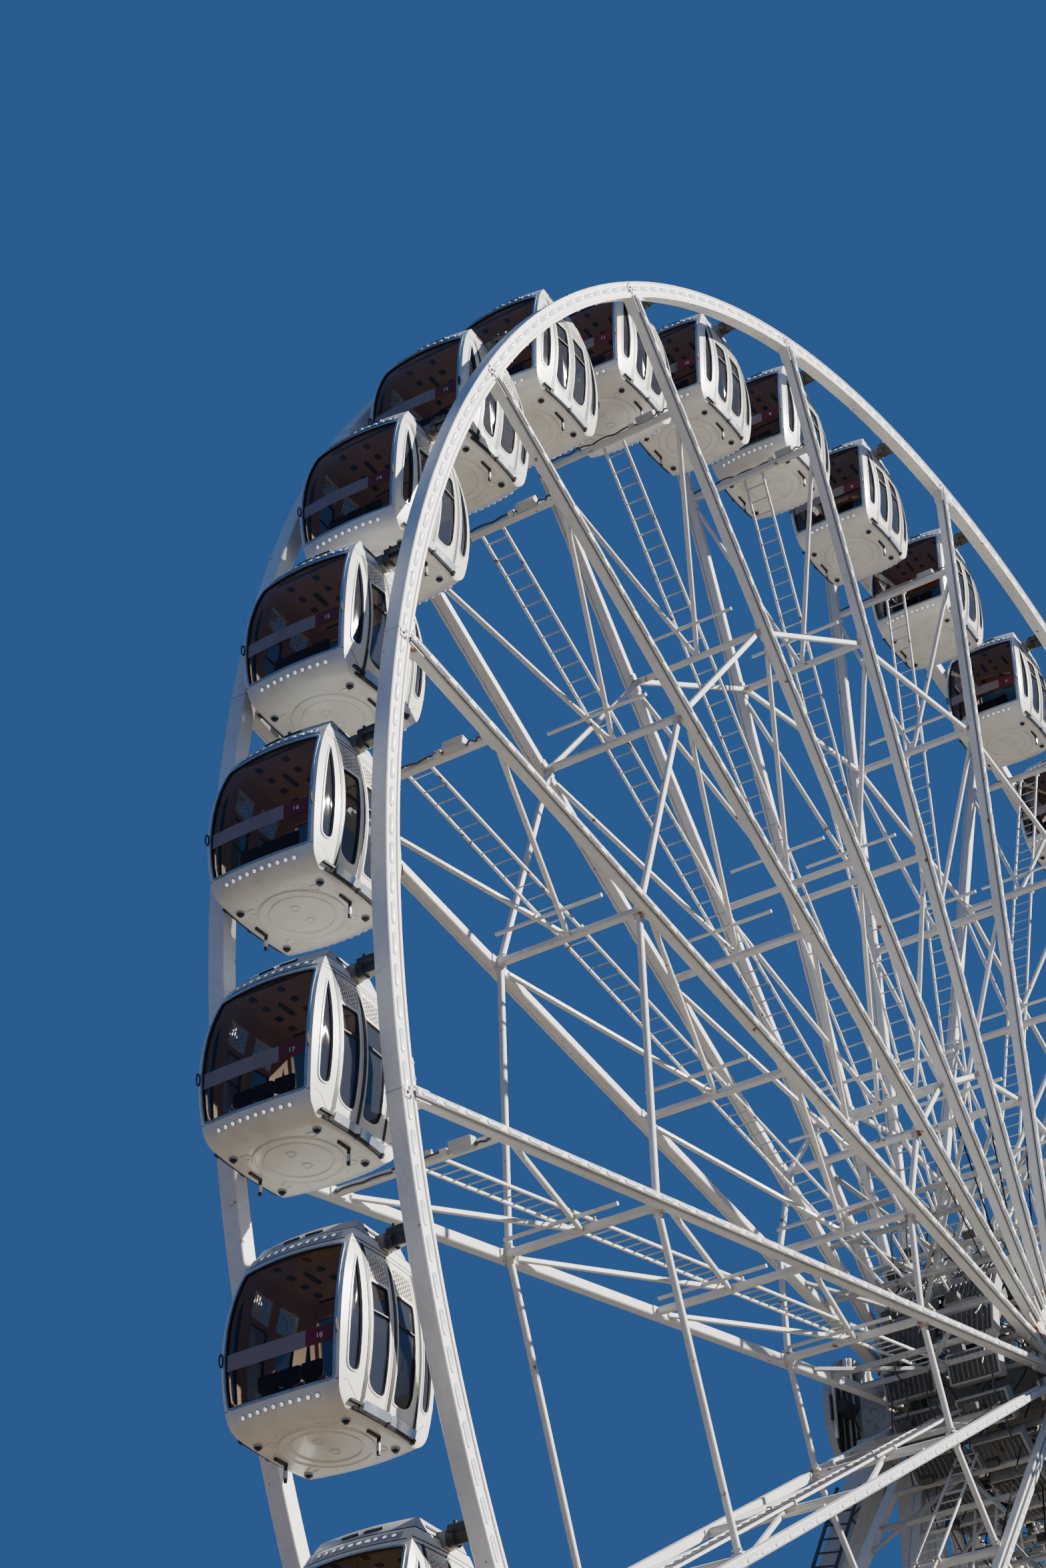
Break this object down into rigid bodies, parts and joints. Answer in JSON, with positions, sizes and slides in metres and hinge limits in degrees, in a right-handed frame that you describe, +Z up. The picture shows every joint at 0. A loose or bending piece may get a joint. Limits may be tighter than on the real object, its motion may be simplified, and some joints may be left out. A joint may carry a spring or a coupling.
{
  "type": "ferris wheel, half-size model",
  "caption": "Open-frame ferris wheel between two A-frame towers, with closed cabins that stay level as it turns; half-size model.",
  "frame": {"origin": "on the ground at the middle of the base, under the hub", "axes": "+Z up, wheel axis along Y, boarding front towards -Y, +X to the right seen from the front"},
  "size_m": [21.6744, 7.45, 22.8272],
  "materials": {
    "white_paint": "satin white paint on steel, a little dust and rust at the joints",
    "cabin_shell": "glossy cream-white moulded shell",
    "hub_steel": "grey-white painted steel with black cables",
    "deck_plate": "ribbed aluminium deck",
    "machinery": "dark painted machinery",
    "smoked_glass": "smoked window pane",
    "window_trim": "blue-grey riveted window trim",
    "black_rubber": "matt black seal",
    "window_band": "band behind the side window, grey-brown and dark red",
    "lamp_lens": "clear lamp lens over white light strips",
    "cabin_lining": "tan moulded lining"
  },
  "bodies": {
    "base": {"base_frame": "white_paint", "boarding_platform": "deck_plate", "stairs_left": "deck_plate", "stairs_right": "deck_plate", "rim_drive": "machinery", "leg_front_left": "white_paint", "leg_front_right": "white_paint", "tower_ties_front": "white_paint", "bearing_head_front": "machinery", "light_disc_front": "machinery", "railing_front": "white_paint", "leg_back_left": "white_paint", "leg_back_right": "white_paint", "tower_ties_back": "white_paint", "bearing_head_back": "machinery", "light_disc_back": "machinery", "railing_back": "white_paint"},
    "wheel": {"rim_front": "white_paint", "rim_back": "white_paint", "spokes_front": "white_paint", "spokes_back": "white_paint", "brace_ring_outer": "white_paint", "brace_ring_inner": "white_paint", "hub": "hub_steel"},
    "cabin_01": {"cabin_01": "cabin_shell"},
    "cabin_02": {"cabin_02": "cabin_shell"},
    "cabin_03": {"cabin_03": "cabin_shell"},
    "cabin_04": {"cabin_04": "cabin_shell"},
    "cabin_05": {"cabin_05": "cabin_shell"},
    "cabin_06": {"cabin_06": "cabin_shell"},
    "cabin_07": {"cabin_07": "cabin_shell"},
    "cabin_08": {"cabin_08": "cabin_shell"},
    "cabin_09": {"cabin_09": "cabin_shell"},
    "cabin_10": {"cabin_10": "cabin_shell"},
    "cabin_11": {"cabin_11": "cabin_shell"},
    "cabin_12": {"cabin_12": "cabin_shell"},
    "cabin_13": {"cabin_13": "cabin_shell"},
    "cabin_14": {"cabin_14": "cabin_shell"},
    "cabin_15": {"cabin_15": "cabin_shell"},
    "cabin_16": {"cabin_16": "cabin_shell"},
    "cabin_17": {"cabin_17": "cabin_shell"},
    "cabin_18": {"cabin_18": "cabin_shell"},
    "cabin_19": {"cabin_19": "cabin_shell"},
    "cabin_20": {"cabin_20": "cabin_shell"},
    "cabin_21": {"cabin_21": "cabin_shell"},
    "cabin_22": {"cabin_22": "cabin_shell"},
    "cabin_23": {"cabin_23": "cabin_shell"},
    "cabin_24": {"cabin_24": "cabin_shell"},
    "cabin_25": {"cabin_25": "cabin_shell"},
    "cabin_26": {"cabin_26": "cabin_shell"},
    "cabin_27": {"cabin_27": "cabin_shell"},
    "cabin_28": {"cabin_28": "cabin_shell"},
    "cabin_29": {"cabin_29": "cabin_shell"},
    "cabin_30": {"cabin_30": "cabin_shell"},
    "cabin_31": {"cabin_31": "cabin_shell"},
    "cabin_32": {"cabin_32": "cabin_shell"},
    "cabin_33": {"cabin_33": "cabin_shell"},
    "cabin_34": {"cabin_34": "cabin_shell"},
    "cabin_35": {"cabin_35": "cabin_shell"},
    "cabin_36": {"cabin_36": "cabin_shell"}
  },
  "joints": [
    {"name": "wheel_spin", "type": "hinge", "parent": "base", "child": "wheel", "pos_m": [0, 0, 12.4], "axis": [0, 1, 0], "continuous": true},
    {"name": "cabin_01_swing", "type": "hinge", "parent": "wheel", "child": "cabin_01", "pos_m": [0.68593, 0, 22.72724], "axis": [0, 1, 0], "continuous": true},
    {"name": "cabin_02_swing", "type": "hinge", "parent": "wheel", "child": "cabin_02", "pos_m": [2.46882, 0, 22.45124], "axis": [0, 1, 0], "continuous": true},
    {"name": "cabin_03_swing", "type": "hinge", "parent": "wheel", "child": "cabin_03", "pos_m": [4.17669, 0, 21.86983], "axis": [0, 1, 0], "continuous": true},
    {"name": "cabin_04_swing", "type": "hinge", "parent": "wheel", "child": "cabin_04", "pos_m": [5.75766, 0, 21.00069], "axis": [0, 1, 0], "continuous": true},
    {"name": "cabin_05_swing", "type": "hinge", "parent": "wheel", "child": "cabin_05", "pos_m": [7.16368, 0, 19.87022], "axis": [0, 1, 0], "continuous": true},
    {"name": "cabin_06_swing", "type": "hinge", "parent": "wheel", "child": "cabin_06", "pos_m": [8.35204, 0, 18.51277], "axis": [0, 1, 0], "continuous": true},
    {"name": "cabin_07_swing", "type": "hinge", "parent": "wheel", "child": "cabin_07", "pos_m": [9.28662, 0, 16.96959], "axis": [0, 1, 0], "continuous": true},
    {"name": "cabin_08_swing", "type": "hinge", "parent": "wheel", "child": "cabin_08", "pos_m": [9.93904, 0, 15.28756], "axis": [0, 1, 0], "continuous": true},
    {"name": "cabin_09_swing", "type": "hinge", "parent": "wheel", "child": "cabin_09", "pos_m": [10.28946, 0, 13.51779], "axis": [0, 1, 0], "continuous": true},
    {"name": "cabin_10_swing", "type": "hinge", "parent": "wheel", "child": "cabin_10", "pos_m": [10.32724, 0, 11.71406], "axis": [0, 1, 0], "continuous": true},
    {"name": "cabin_11_swing", "type": "hinge", "parent": "wheel", "child": "cabin_11", "pos_m": [10.05124, 0, 9.93118], "axis": [0, 1, 0], "continuous": true},
    {"name": "cabin_12_swing", "type": "hinge", "parent": "wheel", "child": "cabin_12", "pos_m": [9.46983, 0, 8.22331], "axis": [0, 1, 0], "continuous": true},
    {"name": "cabin_13_swing", "type": "hinge", "parent": "wheel", "child": "cabin_13", "pos_m": [8.60069, 0, 6.64234], "axis": [0, 1, 0], "continuous": true},
    {"name": "cabin_14_swing", "type": "hinge", "parent": "wheel", "child": "cabin_14", "pos_m": [7.47022, 0, 5.23632], "axis": [0, 1, 0], "continuous": true},
    {"name": "cabin_15_swing", "type": "hinge", "parent": "wheel", "child": "cabin_15", "pos_m": [6.11277, 0, 4.04796], "axis": [0, 1, 0], "continuous": true},
    {"name": "cabin_16_swing", "type": "hinge", "parent": "wheel", "child": "cabin_16", "pos_m": [4.56959, 0, 3.11338], "axis": [0, 1, 0], "continuous": true},
    {"name": "cabin_17_swing", "type": "hinge", "parent": "wheel", "child": "cabin_17", "pos_m": [2.88756, 0, 2.46096], "axis": [0, 1, 0], "continuous": true},
    {"name": "cabin_18_swing", "type": "hinge", "parent": "wheel", "child": "cabin_18", "pos_m": [1.11779, 0, 2.11054], "axis": [0, 1, 0], "continuous": true},
    {"name": "cabin_19_swing", "type": "hinge", "parent": "wheel", "child": "cabin_19", "pos_m": [-0.68593, 0, 2.07275], "axis": [0, 1, 0], "continuous": true},
    {"name": "cabin_20_swing", "type": "hinge", "parent": "wheel", "child": "cabin_20", "pos_m": [-2.46882, 0, 2.34876], "axis": [0, 1, 0], "continuous": true},
    {"name": "cabin_21_swing", "type": "hinge", "parent": "wheel", "child": "cabin_21", "pos_m": [-4.17669, 0, 2.93017], "axis": [0, 1, 0], "continuous": true},
    {"name": "cabin_22_swing", "type": "hinge", "parent": "wheel", "child": "cabin_22", "pos_m": [-5.75766, 0, 3.79931], "axis": [0, 1, 0], "continuous": true},
    {"name": "cabin_23_swing", "type": "hinge", "parent": "wheel", "child": "cabin_23", "pos_m": [-7.16368, 0, 4.92978], "axis": [0, 1, 0], "continuous": true},
    {"name": "cabin_24_swing", "type": "hinge", "parent": "wheel", "child": "cabin_24", "pos_m": [-8.35204, 0, 6.28723], "axis": [0, 1, 0], "continuous": true},
    {"name": "cabin_25_swing", "type": "hinge", "parent": "wheel", "child": "cabin_25", "pos_m": [-9.28662, 0, 7.83041], "axis": [0, 1, 0], "continuous": true},
    {"name": "cabin_26_swing", "type": "hinge", "parent": "wheel", "child": "cabin_26", "pos_m": [-9.93904, 0, 9.51244], "axis": [0, 1, 0], "continuous": true},
    {"name": "cabin_27_swing", "type": "hinge", "parent": "wheel", "child": "cabin_27", "pos_m": [-10.28946, 0, 11.28221], "axis": [0, 1, 0], "continuous": true},
    {"name": "cabin_28_swing", "type": "hinge", "parent": "wheel", "child": "cabin_28", "pos_m": [-10.32724, 0, 13.08593], "axis": [0, 1, 0], "continuous": true},
    {"name": "cabin_29_swing", "type": "hinge", "parent": "wheel", "child": "cabin_29", "pos_m": [-10.05124, 0, 14.86882], "axis": [0, 1, 0], "continuous": true},
    {"name": "cabin_30_swing", "type": "hinge", "parent": "wheel", "child": "cabin_30", "pos_m": [-9.46983, 0, 16.57669], "axis": [0, 1, 0], "continuous": true},
    {"name": "cabin_31_swing", "type": "hinge", "parent": "wheel", "child": "cabin_31", "pos_m": [-8.60069, 0, 18.15766], "axis": [0, 1, 0], "continuous": true},
    {"name": "cabin_32_swing", "type": "hinge", "parent": "wheel", "child": "cabin_32", "pos_m": [-7.47022, 0, 19.56368], "axis": [0, 1, 0], "continuous": true},
    {"name": "cabin_33_swing", "type": "hinge", "parent": "wheel", "child": "cabin_33", "pos_m": [-6.11277, 0, 20.75204], "axis": [0, 1, 0], "continuous": true},
    {"name": "cabin_34_swing", "type": "hinge", "parent": "wheel", "child": "cabin_34", "pos_m": [-4.56959, 0, 21.68662], "axis": [0, 1, 0], "continuous": true},
    {"name": "cabin_35_swing", "type": "hinge", "parent": "wheel", "child": "cabin_35", "pos_m": [-2.88756, 0, 22.33904], "axis": [0, 1, 0], "continuous": true},
    {"name": "cabin_36_swing", "type": "hinge", "parent": "wheel", "child": "cabin_36", "pos_m": [-1.11779, 0, 22.68946], "axis": [0, 1, 0], "continuous": true}
  ],
  "couplings": [
    {"joint": "cabin_01_swing", "follows": "wheel_spin", "ratio": -1},
    {"joint": "cabin_02_swing", "follows": "wheel_spin", "ratio": -1},
    {"joint": "cabin_03_swing", "follows": "wheel_spin", "ratio": -1},
    {"joint": "cabin_04_swing", "follows": "wheel_spin", "ratio": -1},
    {"joint": "cabin_05_swing", "follows": "wheel_spin", "ratio": -1},
    {"joint": "cabin_06_swing", "follows": "wheel_spin", "ratio": -1},
    {"joint": "cabin_07_swing", "follows": "wheel_spin", "ratio": -1},
    {"joint": "cabin_08_swing", "follows": "wheel_spin", "ratio": -1},
    {"joint": "cabin_09_swing", "follows": "wheel_spin", "ratio": -1},
    {"joint": "cabin_10_swing", "follows": "wheel_spin", "ratio": -1},
    {"joint": "cabin_11_swing", "follows": "wheel_spin", "ratio": -1},
    {"joint": "cabin_12_swing", "follows": "wheel_spin", "ratio": -1},
    {"joint": "cabin_13_swing", "follows": "wheel_spin", "ratio": -1},
    {"joint": "cabin_14_swing", "follows": "wheel_spin", "ratio": -1},
    {"joint": "cabin_15_swing", "follows": "wheel_spin", "ratio": -1},
    {"joint": "cabin_16_swing", "follows": "wheel_spin", "ratio": -1},
    {"joint": "cabin_17_swing", "follows": "wheel_spin", "ratio": -1},
    {"joint": "cabin_18_swing", "follows": "wheel_spin", "ratio": -1},
    {"joint": "cabin_19_swing", "follows": "wheel_spin", "ratio": -1},
    {"joint": "cabin_20_swing", "follows": "wheel_spin", "ratio": -1},
    {"joint": "cabin_21_swing", "follows": "wheel_spin", "ratio": -1},
    {"joint": "cabin_22_swing", "follows": "wheel_spin", "ratio": -1},
    {"joint": "cabin_23_swing", "follows": "wheel_spin", "ratio": -1},
    {"joint": "cabin_24_swing", "follows": "wheel_spin", "ratio": -1},
    {"joint": "cabin_25_swing", "follows": "wheel_spin", "ratio": -1},
    {"joint": "cabin_26_swing", "follows": "wheel_spin", "ratio": -1},
    {"joint": "cabin_27_swing", "follows": "wheel_spin", "ratio": -1},
    {"joint": "cabin_28_swing", "follows": "wheel_spin", "ratio": -1},
    {"joint": "cabin_29_swing", "follows": "wheel_spin", "ratio": -1},
    {"joint": "cabin_30_swing", "follows": "wheel_spin", "ratio": -1},
    {"joint": "cabin_31_swing", "follows": "wheel_spin", "ratio": -1},
    {"joint": "cabin_32_swing", "follows": "wheel_spin", "ratio": -1},
    {"joint": "cabin_33_swing", "follows": "wheel_spin", "ratio": -1},
    {"joint": "cabin_34_swing", "follows": "wheel_spin", "ratio": -1},
    {"joint": "cabin_35_swing", "follows": "wheel_spin", "ratio": -1},
    {"joint": "cabin_36_swing", "follows": "wheel_spin", "ratio": -1}
  ]
}
